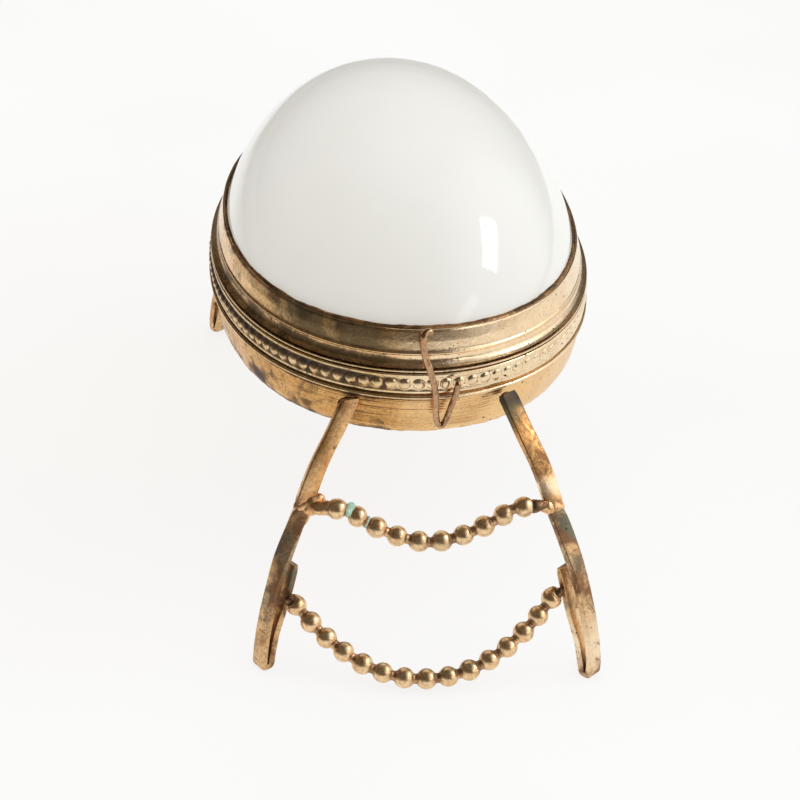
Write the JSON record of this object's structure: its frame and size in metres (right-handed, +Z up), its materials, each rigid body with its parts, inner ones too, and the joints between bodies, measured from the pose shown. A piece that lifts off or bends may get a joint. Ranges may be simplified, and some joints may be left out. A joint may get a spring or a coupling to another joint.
{
  "type": "egg-shaped trinket box",
  "caption": "White glazed egg box lying on its side in gilt brass mounts, with a hinged lid, a spring wire catch, scroll legs and beaded swags.",
  "frame": {"origin": "on the table, under the middle of the egg", "axes": "+Z up; -Y is the front, the blunt end with the catch; +Y is the hinge end; +X is the box's right hand seen from above with the front towards the viewer"},
  "size_m": [0.0682, 0.1395, 0.0817],
  "materials": {
    "porcelain": "glossy white glaze",
    "gilt_brass": "worn gilt, softly polished, brown in the hollows",
    "aged_brass": "tarnished brown brass with green patches",
    "copper_wire": "drawn wire, coppery pink, lightly tarnished"
  },
  "bodies": {
    "base": {"base_shell": "porcelain", "base_collar": "aged_brass", "gallery_band": "gilt_brass", "rim_wire": "gilt_brass", "inner_lip": "gilt_brass", "base_hinge_leaf_left": "gilt_brass", "base_hinge_leaf_right": "gilt_brass", "hinge_pin": "aged_brass", "leg_bar_front_left": "gilt_brass", "leg_scroll_front_left": "aged_brass", "leg_bar_front_right": "gilt_brass", "leg_scroll_front_right": "aged_brass", "leg_bar_rear_left": "gilt_brass", "leg_scroll_rear_left": "aged_brass", "leg_bar_rear_right": "gilt_brass", "leg_scroll_rear_right": "aged_brass", "upper_swag_front": "aged_brass", "lower_swag_front": "aged_brass", "upper_swag_rear": "aged_brass", "lower_swag_rear": "aged_brass"},
    "lid": {"lid_shell": "porcelain", "lid_collar": "gilt_brass", "lid_rim": "gilt_brass", "lid_hinge_leaf": "gilt_brass"},
    "catch": {"catch_wire": "copper_wire"}
  },
  "joints": [
    {"name": "lid_hinge", "type": "hinge", "parent": "base", "child": "lid", "pos_m": [0, 0.054, 0.051], "axis": [-1, 0, 0], "range_deg": [0, 100]},
    {"name": "catch_flex", "type": "hinge", "parent": "base", "child": "catch", "pos_m": [0.0052, -0.053, 0.0501], "axis": [1, 0, 0], "range_deg": [0, 8], "stiffness_Nm_per_rad": 0.01}
  ]
}
